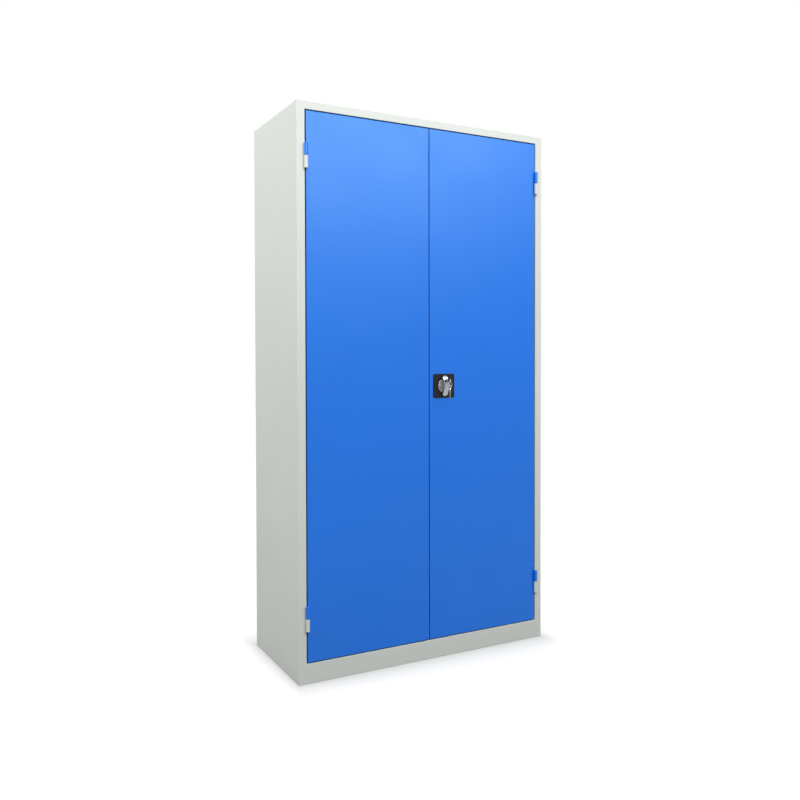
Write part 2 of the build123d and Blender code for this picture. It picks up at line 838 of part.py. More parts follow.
export_step(lock_plate.part, "parts/lock_plate.step")

with BuildPart() as lock_plate_screws:
    with BuildSketch(facing(door_inside)):
        with Locations((lock_x, lock_z)):
            with GridLocations(2 * plate_screw_offset, 2 * plate_screw_offset, 2, 2):
                Circle(m3_head_radius)
    extrude(amount=-m3_head_height)
    with BuildSketch(facing(door_inside)):
        with Locations((lock_x, lock_z)):
            with GridLocations(2 * plate_screw_offset, 2 * plate_screw_offset, 2, 2):
                Circle(m3_radius)
    extrude(amount=door_sheet + plate_screw_depth)
lock_plate_screws.part.label = "lock_plate_screws"
export_step(lock_plate_screws.part, "parts/lock_plate_screws.step")


def grip_bar():
    """The knob's grip: a waisted bar with drafted sides, whose front bows from end to end."""
    half_length = grip_length / 2
    half_width = grip_width / 2
    half_waist = grip_waist / 2
    with BuildPart(mode=Mode.PRIVATE) as bar:
        with BuildSketch(facing(front - knob_front)) as outline:
            with BuildLine(Plane((lock_x, lock_z, 0))):
                left_side = ThreePointArc(
                    (-half_width, half_length - grip_corner),
                    (-half_waist, 0),
                    (-half_width, -half_length + grip_corner),
                )
                right_side = ThreePointArc(
                    (half_width, -half_length + grip_corner),
                    (half_waist, 0),
                    (half_width, half_length - grip_corner),
                )
                ThreePointArc(left_side @ 1, (0, -half_length), right_side @ 0)
                ThreePointArc(right_side @ 1, (0, half_length), left_side @ 0)
            make_face()
            fillet(outline.vertices(), grip_corner_radius)
        extrude(amount=grip_crest - knob_front, taper=grip_draft)
        with BuildSketch(Plane(origin=(lock_x, front, lock_z), x_dir=(0, -1, 0), z_dir=(1, 0, 0))):
            with BuildLine():
                bow = ThreePointArc(
                    (grip_end_front, half_length),
                    (grip_crest, 0),
                    (grip_end_front, -half_length),
                )
                Polyline(bow @ 1, (knob_front, -half_length), (knob_front, half_length), bow @ 0)
            make_face()
        extrude(amount=half_width, both=True, mode=Mode.INTERSECT)
        fillet(bar.faces().filter_by(GeomType.CYLINDER).sort_by(SortBy.AREA)[-1].edges(), grip_edge_radius)
    return bar.part


# The knob is one casting: a cupped disc, the grip bar across it, and a hub with a square hole.
with BuildPart() as knob:
    with BuildSketch(facing(front - knob_back)):
        with Locations((lock_x, lock_z)):
            Circle(knob_radius)
    extrude(amount=knob_front - knob_back)
    fillet(knob.faces().sort_by(Axis.Y)[0].edges(), knob_wall)
    with BuildSketch(facing(front - knob_back)):
        with Locations((lock_x, lock_z)):
            Circle(knob_radius - knob_wall)
    extrude(amount=knob_inside - knob_back, mode=Mode.SUBTRACT)
    with BuildSketch(facing(door_inside - bearing_clearance)):
        with Locations((lock_x, lock_z)):
            Circle(bearing_radius - bearing_clearance)
    extrude(amount=knob_inside + door_sheet - bearing_clearance)
    add(grip_bar())
    with BuildSketch(facing(front - knob_front)):
        with Locations((lock_x, cylinder_z)):
            Circle(barrel_boss_radius)
    extrude(amount=barrel_seat - knob_front)
    with BuildSketch(facing(front - barrel_seat)):
        with Locations((lock_x, cylinder_z)):
            Circle(barrel_seat_radius)
    extrude(amount=grip_crest, mode=Mode.SUBTRACT)
    with BuildSketch(facing(front)):
        with Locations((lock_x, cylinder_z)):
            Circle(barrel_radius)
    extrude(amount=grip_crest, mode=Mode.SUBTRACT)
    with BuildSketch(facing(door_inside)):
        with Locations((lock_x, lock_z)):
            Rectangle(spindle_size, spindle_size)
    extrude(amount=knob_inside + door_sheet, mode=Mode.SUBTRACT)
knob.part.label = "knob"
export_step(knob.part, "parts/knob.step")

with BuildPart() as lock_barrel:
    with BuildSketch(facing(front - knob_inside)):
        with Locations((lock_x, cylinder_z)):
            Circle(barrel_radius)
    extrude(amount=barrel_seat - knob_inside)
    with BuildSketch(facing(front - barrel_seat)):
        with Locations((lock_x, cylinder_z)):
            Circle(barrel_flange_radius)
    extrude(amount=barrel_flange)
    fillet(lock_barrel.faces().sort_by(Axis.Y)[0].edges(), barrel_flange / 2)
    with BuildSketch(facing(front - knob_inside)):
        with Locations((lock_x, cylinder_z)):
            Circle(plug_radius + plug_clearance)
    extrude(amount=barrel_seat, mode=Mode.SUBTRACT)
lock_barrel.part.label = "lock_barrel"
export_step(lock_barrel.part, "parts/lock_barrel.step")

# The plug turns in the barrel; a square tail behind it carries the cam.
with BuildPart() as lock_plug:
    with BuildSketch(facing(cam_front)):
        with Locations((lock_x, cylinder_z)):
            Circle(plug_radius)
    extrude(amount=cam_front - plug_front)
    with BuildSketch(facing(cam_front + cam_thickness)):
        with Locations((lock_x, cylinder_z)):
            Rectangle(plug_square, plug_square)
    extrude(amount=cam_thickness)
    half_slot_x = key_thickness / 2 + keyway_clearance
    half_slot_z = key_blade_width / 2 + keyway_clearance
    box_between(
        (lock_x - half_slot_x, plug_front, cylinder_z - half_slot_z),
        (lock_x + half_slot_x, keyway_end, cylinder_z + half_slot_z),
        mode=Mode.SUBTRACT,
    )
lock_plug.part.label = "lock_plug"
export_step(lock_plug.part, "parts/lock_plug.step")

with BuildPart() as lock_cam:
    with BuildSketch(facing(cam_front + cam_thickness)):
        with Locations((lock_x, cylinder_z)):
            Circle(plug_radius)
            with Locations((cam_reach / 2, 0)):
                Rectangle(cam_reach, cam_width)
            Rectangle(plug_square, plug_square, mode=Mode.SUBTRACT)
    extrude(amount=cam_thickness)
lock_cam.part.label = "lock_cam"
export_step(lock_cam.part, "parts/lock_cam.step")

# ---------------------------------------------------------------- keys


def key_profile():
    """A flat key's outline: the bow is at the origin and the blade runs along local x."""
    shoulder = key_reach - key_blade_length
    half_blade = key_blade_width / 2
    with BuildSketch(mode=Mode.PRIVATE) as profile:
        Circle(key_bow_radius)
        with Locations((shoulder / 2, 0)):
            Rectangle(shoulder, key_neck_width)
        with BuildLine():
            Polyline(
                (0, -half_blade),
                (key_reach - half_blade / 2, -half_blade),
                (key_reach, 0),
                (key_reach - half_blade / 2, half_blade),
                (0, half_blade),
                close=True,
            )
        make_face()
        for place, cut in enumerate(key_cut_depths):
            cut_x = shoulder + key_first_cut + key_cut_pitch * place
            with BuildLine():
                Polyline(
                    (cut_x - cut - key_cut_flat / 2, half_blade),
                    (cut_x - key_cut_flat / 2, half_blade - cut),
                    (cut_x + key_cut_flat / 2, half_blade - cut),
                    (cut_x + cut + key_cut_flat / 2, half_blade),
                    close=True,
                )
            make_face(mode=Mode.SUBTRACT)
        with Locations((-key_hole_offset, 0)):
            Circle(key_hole_radius, mode=Mode.SUBTRACT)
    return profile.sketch


with BuildPart() as key:
    with BuildSketch(Plane(origin=(lock_x, key_bow_y, cylinder_z), x_dir=(0, 1, 0), z_dir=(1, 0, 0))):
        add(key_profile())
    extrude(amount=key_thickness / 2, both=True)
key.part.label = "key"
export_step(key.part, "parts/key.step")

ring_across = (cos(radians(ring_twist)), sin(radians(ring_twist)), 0)
ring_normal = (-sin(radians(ring_twist)), cos(radians(ring_twist)), 0)
with BuildPart(Plane(origin=(lock_x, ring_y, ring_z), x_dir=ring_across, z_dir=ring_normal)) as key_ring:
    Torus(ring_radius, ring_wire_radius)
key_ring.part.label = "key_ring"
export_step(key_ring.part, "parts/key_ring.step")

spare_normal = (sin(radians(spare_key_twist)), cos(radians(spare_key_twist)), 0)
with BuildPart() as spare_key:
    with BuildSketch(Plane(origin=(lock_x, ring_y, spare_bow_z), x_dir=(0, 0, -1), z_dir=spare_normal)):
        add(key_profile())
    extrude(amount=key_thickness / 2, both=True)
spare_key.part.label = "spare_key"
export_step(spare_key.part, "parts/spare_key.step")

# ---------------------------------------------------------------- lock case, pinion, rods

with BuildPart() as lock_case:
    box_between(
        (lock_x - case_half_width, case_front, lock_z - case_half_height),
        (lock_x + case_half_width, cover_front, lock_z + case_half_height),
    )
    box_between(
        (lock_x - case_half_width + case_wall, case_front + case_wall, lock_z - case_half_height + case_wall),
        (lock_x + case_half_width - case_wall, cover_front, lock_z + case_half_height - case_wall),
        mode=Mode.SUBTRACT,
    )
    with BuildSketch(facing(cover_front)):
        with Locations((lock_x, lock_z)):
            with GridLocations(2 * case_post_x, 2 * case_post_z, 2, 2):
                Circle(case_post_radius)
    extrude(amount=cover_front - case_front - case_wall)
    with BuildSketch(facing(cover_front)):
        with Locations((lock_x, lock_z)):
            with GridLocations(2 * case_post_x, 2 * case_post_z, 2, 2):
                Circle(m3_radius)
    extrude(amount=m3_length - case_wall, mode=Mode.SUBTRACT)
    with BuildSketch(facing(case_front + case_wall)):
        with Locations((lock_x, lock_z)):
            Circle(journal_front_radius + journal_clearance)
    extrude(amount=case_wall, mode=Mode.SUBTRACT)
    for rod_x, wall_low in (
        (lock_x - bar_middle, lock_z + case_half_height - case_wall),
        (lock_x + bar_middle, lock_z - case_half_height),
    ):
        box_between(
            (rod_x - bar_body / 2 - bar_clearance, rod_layer - bar_clearance, wall_low),
            (rod_x + bar_body / 2 + bar_clearance, rod_layer + bar_thickness + bar_clearance,
             wall_low + case_wall),
            mode=Mode.SUBTRACT,
        )
    side_bolt_slot(lock_x - case_half_width, lock_x - case_half_width + case_wall, bar_clearance)
lock_case.part.label = "lock_case"
export_step(lock_case.part, "parts/lock_case.step")

with BuildPart() as lock_cover:
    box_between(
        (lock_x - case_half_width, cover_front, lock_z - case_half_height),
        (lock_x + case_half_width, cover_back, lock_z + case_half_height),
    )
    with BuildSketch(facing(cover_back)):
        with Locations((lock_x, lock_z)):
            Circle(journal_rear_radius + journal_clearance)
            with GridLocations(2 * case_post_x, 2 * case_post_z, 2, 2):
                Circle(m3_radius)
    extrude(amount=case_wall, mode=Mode.SUBTRACT)
lock_cover.part.label = "lock_cover"
export_step(lock_cover.part, "parts/lock_cover.step")

with BuildPart() as lock_cover_screws:
    with BuildSketch(facing(cover_back + m3_head_height)):
        with Locations((lock_x, lock_z)):
            with GridLocations(2 * case_post_x, 2 * case_post_z, 2, 2):
                Circle(m3_head_radius)
    extrude(amount=m3_head_height)
    with BuildSketch(facing(cover_back)):
        with Locations((lock_x, lock_z)):
            with GridLocations(2 * case_post_x, 2 * case_post_z, 2, 2):
                Circle(m3_radius)
    extrude(amount=m3_length)
lock_cover_screws.part.label = "lock_cover_screws"
export_step(lock_cover_screws.part, "parts/lock_cover_screws.step")

# The pinion's teeth have involute flanks down to the base circle and straight ones below it.
with BuildPart() as pinion:
    root_radius = pitch_radius - pinion_dedendum
    flank = involute_tooth()
    with BuildSketch(facing(pinion_back)):
        with Locations((lock_x, lock_z)):
            Circle(root_radius)
        for tooth in range(pinion_teeth):
            turn = 2 * pi * tooth / pinion_teeth
            sides = []
            for hand in (1, -1):
                points = [(r * cos(turn + hand * a), r * sin(turn + hand * a)) for r, a in flank]
                inner_radius = root_radius - gear_module / 4
                foot_angle = turn + hand * flank[0][1]
                foot = (inner_radius * cos(foot_angle), inner_radius * sin(foot_angle))
                sides.append((foot, points))
            with BuildLine(Plane((lock_x, lock_z, 0))):
                Line(sides[0][0], sides[0][1][0])
                Spline(*sides[0][1])
                Line(sides[0][1][-1], sides[1][1][-1])
                Spline(*sides[1][1])
                Line(sides[1][1][0], sides[1][0])
                Line(sides[1][0], sides[0][0])
            make_face()
    extrude(amount=pinion_back - pinion_front)
    with BuildSketch(facing(pinion_front)):
        with Locations((lock_x, lock_z)):
            Circle(journal_front_radius)
    extrude(amount=pinion_front - case_front - bearing_clearance)
    with BuildSketch(facing(cover_back + journal_reach)):
        with Locations((lock_x, lock_z)):
            Circle(journal_rear_radius)
    extrude(amount=cover_back + journal_reach - pinion_back)
    with BuildSketch(facing(cover_back + journal_reach)):
        with Locations((lock_x, lock_z)):
            Rectangle(spindle_size, spindle_size)
    extrude(amount=cover_back + journal_reach - case_front, mode=Mode.SUBTRACT)
pinion.part.label = "pinion"
export_step(pinion.part, "parts/pinion.step")

with BuildPart() as spindle:
    spindle_back = cover_back + journal_reach
    with BuildSketch(facing(spindle_back)):
        with Locations((lock_x, lock_z)):
            Rectangle(spindle_size, spindle_size)
    extrude(amount=spindle_back - front + knob_inside)
    with BuildSketch(facing(spindle_back)):
        with Locations((lock_x, lock_z)):
            Circle(spindle_screw_radius)
    extrude(amount=spindle_screw_length, mode=Mode.SUBTRACT)
spindle.part.label = "spindle"
export_step(spindle.part, "parts/spindle.step")

# One screw with its washer holds the pinion on the spindle.
with BuildPart() as spindle_screw:
    with BuildSketch(facing(spindle_back)):
        with Locations((lock_x, lock_z)):
            Circle(spindle_screw_radius)
    extrude(amount=spindle_screw_length)
    with BuildSketch(facing(spindle_back + spindle_washer)):
        with Locations((lock_x, lock_z)):
            Circle(spindle_washer_radius)
    extrude(amount=spindle_washer)
    with BuildSketch(facing(spindle_back + spindle_washer + spindle_head_height)):
        with Locations((lock_x, lock_z)):
            Circle(spindle_head_radius)
    extrude(amount=spindle_head_height)
spindle_screw.part.label = "spindle_screw"
export_step(spindle_screw.part, "parts/spindle_screw.step")


def rack_profile():
    """Rack teeth that point along local y from the bar's root line and run along local x from the origin."""
    slope = tan(radians(pressure_angle))
    half_root = tooth_thickness / 2 + rack_dedendum * slope
    half_tip = tooth_thickness / 2 - rack_addendum * slope
    tip = rack_dedendum + rack_addendum
    sunk = -gear_module / 4
    with BuildSketch(mode=Mode.PRIVATE) as profile:
        for tooth in range(rack_teeth):
            middle = tooth_pitch * (tooth + 0.5)
            with BuildLine():
                Polyline(
                    (middle - half_root, sunk),
                    (middle - half_root, 0),
                    (middle - half_tip, tip),
                    (middle + half_tip, tip),
                    (middle + half_root, 0),
                    (middle + half_root, sunk),
                    close=True,
                )
            make_face()
    return profile.sketch


# The pinion's left side drives the upper rod up and its right side drives the lower rod down.
# A space of each rack faces the pinion's tooth at rest, and the teeth trail behind the motion.
with BuildPart() as upper_rod:
    with BuildSketch(facing(rod_layer + bar_thickness)):
        with Locations((lock_x - bar_middle, (lock_z - rack_end + rod_top) / 2)):
            Rectangle(bar_body, rod_top - lock_z + rack_end)
        with Locations(Location((lock_x - bar_root, lock_z + tooth_pitch), -90)):
            add(rack_profile())
    extrude(amount=bar_thickness)
    chamfer(upper_rod.faces().sort_by(Axis.Z)[-1].edges(), rod_chamfer)
upper_rod.part.label = "upper_rod"
export_step(upper_rod.part, "parts/upper_rod.step")

with BuildPart() as lower_rod:
    with BuildSketch(facing(rod_layer + bar_thickness)):
        with Locations((lock_x + bar_middle, (lock_z + rack_end + rod_bottom) / 2)):
            Rectangle(bar_body, lock_z + rack_end - rod_bottom)
        with Locations(Location((lock_x + bar_root, lock_z - tooth_pitch), 90)):
            add(rack_profile())
    extrude(amount=bar_thickness)
    chamfer(lower_rod.faces().sort_by(Axis.Z)[0].edges(), rod_chamfer)
lower_rod.part.label = "lower_rod"
export_step(lower_rod.part, "parts/lower_rod.step")

# The side bolt lies under the pinion, one layer behind the rods, and is driven to the left.
with BuildPart() as side_bolt:
    side_bolt_tip = door_inner_x + rod_end_gap
    with BuildSketch(facing(bolt_layer + bar_thickness)):
        with Locations(((side_bolt_tip + lock_x + rack_end) / 2, lock_z - bar_middle)):
            Rectangle(lock_x + rack_end - side_bolt_tip, bar_body)
        with Locations((lock_x - tooth_pitch, lock_z - bar_root)):
            add(rack_profile())
    extrude(amount=bar_thickness)
    chamfer(side_bolt.faces().sort_by(Axis.X)[0].edges(), rod_chamfer)
side_bolt.part.label = "side_bolt"
export_step(side_bolt.part, "parts/side_bolt.step")

print(f"bar travel for {knob_travel:.0f} degrees: {rod_travel:.2f} mm")
print(f"shelf bottoms: {[round(z, 1) for z in shelf_bottoms]}")
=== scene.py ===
import json
import math

import bmesh
import bpy
from mathutils import Matrix, Vector


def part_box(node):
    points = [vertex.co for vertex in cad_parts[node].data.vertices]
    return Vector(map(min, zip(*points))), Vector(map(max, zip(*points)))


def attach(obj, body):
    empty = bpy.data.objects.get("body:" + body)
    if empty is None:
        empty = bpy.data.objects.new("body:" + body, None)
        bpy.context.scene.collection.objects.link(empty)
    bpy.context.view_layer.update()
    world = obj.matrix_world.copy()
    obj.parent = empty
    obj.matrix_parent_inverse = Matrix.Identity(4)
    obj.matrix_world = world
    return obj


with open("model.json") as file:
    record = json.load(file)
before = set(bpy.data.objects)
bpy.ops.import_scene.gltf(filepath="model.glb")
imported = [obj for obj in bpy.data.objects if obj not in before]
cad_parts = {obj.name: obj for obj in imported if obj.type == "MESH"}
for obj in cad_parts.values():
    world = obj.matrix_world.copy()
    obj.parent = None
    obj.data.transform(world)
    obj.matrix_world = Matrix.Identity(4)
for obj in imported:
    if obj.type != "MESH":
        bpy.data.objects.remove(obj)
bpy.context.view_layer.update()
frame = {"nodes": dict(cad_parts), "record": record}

# Tool cabinet with two doors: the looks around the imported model, in metres, in the model's own
# frame. The doors face -Y, X runs across them, and Z is up.

# ---------------------------------------------------------------- camera

IMAGE_SIZE = 800
SENSOR_WIDTH = 36.0
FOCAL_PIXELS = 837.7
PRINCIPAL_POINT = (441.9, 370.5)
CAMERA_PLACE = (-1.4674, -2.8805, 1.1117)
CAMERA_YAW = 0.5207
CAMERA_PITCH = -0.0201
CAMERA_ROLL = -0.0009


def add_camera():
    """The camera looks along +Y, turned by the yaw towards +X, then tilted by the pitch."""
    forward = Vector((
        math.sin(CAMERA_YAW) * math.cos(CAMERA_PITCH),
        math.cos(CAMERA_YAW) * math.cos(CAMERA_PITCH),
        math.sin(CAMERA_PITCH),
    ))
    level = Vector((math.cos(CAMERA_YAW), -math.sin(CAMERA_YAW), 0))
    upright = level.cross(forward)
    right = level * math.cos(CAMERA_ROLL) + upright * math.sin(CAMERA_ROLL)
    up = upright * math.cos(CAMERA_ROLL) - level * math.sin(CAMERA_ROLL)
    data = bpy.data.cameras.new("camera")
    data.sensor_width = SENSOR_WIDTH
    data.lens = FOCAL_PIXELS / IMAGE_SIZE * SENSOR_WIDTH
    data.shift_x = (IMAGE_SIZE / 2 - PRINCIPAL_POINT[0]) / IMAGE_SIZE
    data.shift_y = (PRINCIPAL_POINT[1] - IMAGE_SIZE / 2) / IMAGE_SIZE
    camera = bpy.data.objects.new("camera", data)
    turn = Matrix((right, up, -forward)).transposed()
    camera.matrix_world = Matrix.Translation(CAMERA_PLACE) @ turn.to_4x4()
    bpy.context.scene.collection.objects.link(camera)
    bpy.context.scene.camera = camera


# ---------------------------------------------------------------- node trees

FULL_SPAN = (0, 1)
NOISE_SPAN = (0.3, 0.7)


def feed(tree, value, target):
    """Links a socket to the target, or sets the target to a plain value."""
    if isinstance(value, bpy.types.NodeSocket):
        tree.links.new(value, target)
    else:
        target.default_value = value


def scalar_math(tree, operation, *values):
    node = tree.nodes.new("ShaderNodeMath")
    node.operation = operation
    for value, target in zip(values, node.inputs):
        feed(tree, value, target)
    return node.outputs["Value"]


def vector_math(tree, operation, *values, output="Vector"):
    node = tree.nodes.new("ShaderNodeVectorMath")
    node.operation = operation
    for value, target in zip(values, node.inputs):
        feed(tree, value, target)
    return node.outputs[output]


def map_range(tree, value, source, target):
    node = tree.nodes.new("ShaderNodeMapRange")
    for key, number in zip(("From Min", "From Max", "To Min", "To Max"), (*source, *target)):
        node.inputs[key].default_value = number
    tree.links.new(value, node.inputs["Value"])
    return node.outputs["Result"]


def mix_shaders(tree, share, first, second):
    node = tree.nodes.new("ShaderNodeMixShader")
    for value, target in zip((share, first, second), node.inputs):
        tree.links.new(value, target)
    return node.outputs[0]


def looking_ray(tree):
    """One for the rays of the eye, of a gloss and of a clear piece, and zero for soft light."""
    path = tree.nodes.new("ShaderNodeLightPath")
    either = path.outputs["Is Camera Ray"]
    for kind in ("Is Glossy Ray", "Is Transmission Ray"):
        either = scalar_math(tree, "MAXIMUM", either, path.outputs[kind])
    return either


class Shader:
    """A material of one Principled surface, with short calls for the nodes that drive it."""

    def __init__(self, name):
        self.material = bpy.data.materials.new(name)
        self.material.use_nodes = True
        self.tree = self.material.node_tree
        self.tree.nodes.clear()
        self.surface = self.add("ShaderNodeBsdfPrincipled")
        output = self.add("ShaderNodeOutputMaterial")
        self.link(self.surface.outputs["BSDF"], output.inputs["Surface"])
        self.place = self.add("ShaderNodeTexCoord").outputs["Object"]

    def add(self, kind):
        return self.tree.nodes.new(kind)

    def link(self, source, target):
        self.tree.links.new(source, target)

    def noise(self, scale, detail=2.0, stretch=None):
        """Smooth noise with about this many waves in a metre, each axis times its stretch."""
        place = self.place
        if stretch is not None:
            mapping = self.add("ShaderNodeMapping")
            mapping.inputs["Scale"].default_value = stretch
            self.link(place, mapping.inputs["Vector"])
            place = mapping.outputs["Vector"]
        texture = self.add("ShaderNodeTexNoise")
        texture.inputs["Scale"].default_value = scale
        texture.inputs["Detail"].default_value = detail
        self.link(place, texture.inputs["Vector"])
        return texture.outputs["Fac"]

    def cells(self, scale, raggedness):
        """Random cells whose edges a noise pulls about by up to this many metres."""
        pull = self.add("ShaderNodeTexNoise")
        pull.inputs["Scale"].default_value = scale * 2
        self.link(self.place, pull.inputs["Vector"])
        reach = (raggedness, raggedness, raggedness)
        pulled = vector_math(self.tree, "MULTIPLY_ADD", pull.outputs["Color"], reach, self.place)
        texture = self.add("ShaderNodeTexVoronoi")
        texture.inputs["Scale"].default_value = scale
        self.link(pulled, texture.inputs["Vector"])
        return texture.outputs["Color"]

    def to_range(self, value, low, high, source=NOISE_SPAN):
        return map_range(self.tree, value, source, (low, high))

    def blend_colors(self, share, first, second):
        node = self.add("ShaderNodeMix")
        node.data_type = "RGBA"
        node.inputs["A"].default_value = (*first, 1)
        node.inputs["B"].default_value = (*second, 1)
        self.link(share, node.inputs["Factor"])
        return node.outputs["Result"]

    def multiply_color(self, color, factor):
        node = self.add("ShaderNodeVectorMath")
        node.operation = "SCALE"
        self.link(color, node.inputs[0])
        self.link(factor, node.inputs["Scale"])
        return node.outputs["Vector"]

    def bump(self, height, depth, under=None):
        """Bumps of this depth in metres, laid over the bumps under them."""
        node = self.add("ShaderNodeBump")
        node.inputs["Distance"].default_value = depth
        self.link(height, node.inputs["Height"])
        if under is not None:
            self.link(under, node.inputs["Normal"])
        return node.outputs["Normal"]

    def set(self, **values):
        """Feeds the surface's sockets, whose names have _ here in place of a space."""
        for key, value in values.items():
            feed(self.tree, value, self.surface.inputs[key.replace("_", " ")])


def shade(color, factor):
    return tuple(min(1.0, channel * factor) for channel in color)


# ---------------------------------------------------------------- materials

# A noise's scale is in waves in a metre and a depth is in metres. A pair is a lowest and a
# highest value.

COAT_WAVE_SCALE = 2.6
COAT_WAVE_DEPTH = 0.0012
COAT_PEEL_SCALE = 420.0
COAT_PEEL_DEPTH = 0.00007
# Painted light and shade of the orange peel: the colour is scaled by the peel's height, lighter on
# rises and darker in dips.
COAT_PEEL_PAINTED_SHADE = (0.98, 1.02)
COAT_FINE_SCALE = 1700.0
COAT_FINE_DEPTH = 0.00002
COAT_DRIFT_SCALE = 2.2
COAT_DRIFT_TONES = (0.985, 1.015)
COAT_PATCH_SCALE = 7.0
COAT_PATCH_CHANGE = 0.03


def powder_coat(name, color, roughness, specular, tint):
    """Powder coat: its colour drifts at random and carries a painted shade of the orange peel,
    lighter on its rises and darker in its dips, over slightly wavy sheet.
    """
    shader = Shader(name)
    drift = shader.to_range(shader.noise(COAT_DRIFT_SCALE, detail=3), *FULL_SPAN)
    peel = shader.noise(COAT_PEEL_SCALE, detail=1.5)
    drifted = shader.blend_colors(drift, *(shade(color, tone) for tone in COAT_DRIFT_TONES))
    patches = shader.noise(COAT_PATCH_SCALE, detail=3)
    smooth, rough = roughness - COAT_PATCH_CHANGE, roughness + COAT_PATCH_CHANGE
    wave = shader.bump(shader.noise(COAT_WAVE_SCALE, detail=1), COAT_WAVE_DEPTH)
    peeled = shader.bump(peel, COAT_PEEL_DEPTH, wave)
    fine = shader.noise(COAT_FINE_SCALE, detail=1)
    shader.set(
        # The peel's height scales the colour as well as the normal: a painted shade of the orange
        # peel.
        Base_Color=shader.multiply_color(drifted, shader.to_range(peel, *COAT_PEEL_PAINTED_SHADE)),
        Roughness=shader.to_range(patches, smooth, rough),
        Normal=shader.bump(fine, COAT_FINE_DEPTH, peeled),
        Specular_IOR_Level=specular,
        Specular_Tint=(*tint, 1),
    )
    return shader.material


CRYSTAL_SCALE = 95.0
CRYSTAL_RAGGEDNESS = 0.006
CRYSTAL_SHARES = (0.15, 0.85)
CRYSTAL_DULL = (0.50, 0.52, 0.535)
CRYSTAL_BRIGHT = (0.61, 0.63, 0.645)
CRYSTAL_ROUGHNESS = (0.36, 0.48)
SHEET_CLOUD_SCALE = 14.0
SHEET_CLOUD_TONES = (0.92, 1.06)
SHEET_GRAIN_SCALE = 260.0
SHEET_GRAIN_DEPTH = 0.00002


def galvanised(name):
    """Galvanised sheet: ragged crystals, each a little lighter or duller than the next."""
    shader = Shader(name)
    crystals = shader.add("ShaderNodeSeparateColor")
    shader.link(shader.cells(CRYSTAL_SCALE, CRYSTAL_RAGGEDNESS), crystals.inputs["Color"])
    share = shader.to_range(crystals.outputs["Red"], *CRYSTAL_SHARES, FULL_SPAN)
    color = shader.blend_colors(share, CRYSTAL_DULL, CRYSTAL_BRIGHT)
    cloud = shader.noise(SHEET_CLOUD_SCALE, detail=4)
    grain = shader.noise(SHEET_GRAIN_SCALE, detail=3)
    shader.set(
        Base_Color=shader.multiply_color(color, shader.to_range(cloud, *SHEET_CLOUD_TONES)),
        Roughness=shader.to_range(crystals.outputs["Green"], *CRYSTAL_ROUGHNESS, FULL_SPAN),
        Normal=shader.bump(grain, SHEET_GRAIN_DEPTH),
        Metallic=1.0,
    )
    return shader.material


ZINC_CLOUD_SCALE = 45.0
ZINC_DULL = (0.44, 0.46, 0.49)
ZINC_BRIGHT = (0.53, 0.54, 0.55)
ZINC_PATCH_SCALE = 120.0
ZINC_ROUGHNESS = (0.23, 0.33)
ZINC_GRAIN_SCALE = 1500.0
ZINC_GRAIN_STRETCH = (1, 1, 0.08)
ZINC_GRAIN_DEPTH = 0.000012


def zinc(name):
    """Bright zinc plating on hardware: an upright grain under a faintly clouded passivation."""
    shader = Shader(name)
    cloud = shader.to_range(shader.noise(ZINC_CLOUD_SCALE, detail=4), *FULL_SPAN)
    patches = shader.noise(ZINC_PATCH_SCALE, detail=3)
    grain = shader.noise(ZINC_GRAIN_SCALE, detail=2, stretch=ZINC_GRAIN_STRETCH)
    shader.set(
        Base_Color=shader.blend_colors(cloud, ZINC_DULL, ZINC_BRIGHT),
        Roughness=shader.to_range(patches, *ZINC_ROUGHNESS),
        Normal=shader.bump(grain, ZINC_GRAIN_DEPTH),
        Metallic=1.0,
    )
    return shader.material


METAL_TONES = (0.98, 1.02)
METAL_CLOUD_STEP = 9
METAL_ROUGHNESS_SHARES = (0.85, 1.15)


def metal(name, color, roughness, grain_scale, grain_depth):
    """Plated or turned metal with a fine grain, and a gloss that a wider noise clouds."""
    shader = Shader(name)
    grain = shader.noise(grain_scale, detail=3)
    cloud = shader.noise(grain_scale / METAL_CLOUD_STEP, detail=3)
    tones = (shade(color, tone) for tone in METAL_TONES)
    smooth, rough = (roughness * share for share in METAL_ROUGHNESS_SHARES)
    shader.set(
        Base_Color=shader.blend_colors(shader.to_range(grain, *FULL_SPAN), *tones),
        Roughness=shader.to_range(cloud, smooth, rough),
        Normal=shader.bump(grain, grain_depth),
        Metallic=1.0,
    )
    return shader.material


MOULDED_CLOUD_SCALE = 60.0
MOULDED_TONES = (0.88, 1.1)
MOULDED_PATCH_SCALE = 90.0
MOULDED_PATCH_CHANGES = (-0.05, 0.06)
MOULDED_GRAIN_SCALE = 1400.0
MOULDED_SPECULAR = 0.22


def moulded(name, color, roughness, grain_depth):
    """Moulded plastic or rubber with a spark-eroded grain."""
    shader = Shader(name)
    cloud = shader.to_range(shader.noise(MOULDED_CLOUD_SCALE), *FULL_SPAN)
    tones = (shade(color, tone) for tone in MOULDED_TONES)
    patches = shader.noise(MOULDED_PATCH_SCALE)
    smooth, rough = (roughness + change for change in MOULDED_PATCH_CHANGES)
    shader.set(
        Base_Color=shader.blend_colors(cloud, *tones),
        Roughness=shader.to_range(patches, smooth, rough),
        Normal=shader.bump(shader.noise(MOULDED_GRAIN_SCALE), grain_depth),
        Specular_IOR_Level=MOULDED_SPECULAR,
    )
    return shader.material


LIGHT_GREY = (0.566, 0.598, 0.561)
DOOR_BLUE = (0.002, 0.131, 0.63)
GUIDE_BLACK = (0.03, 0.03, 0.032)
PLATE_BLACK = (0.008, 0.007, 0.009)
RUBBER_BLACK = (0.02, 0.02, 0.02)
CHROME = (0.36, 0.37, 0.37)
DARK_BRASS = (0.10, 0.085, 0.06)
NICKEL = (0.36, 0.35, 0.34)
NO_TINT = (1, 1, 1)
DOOR_TINT = (0.65, 1, 0.9)

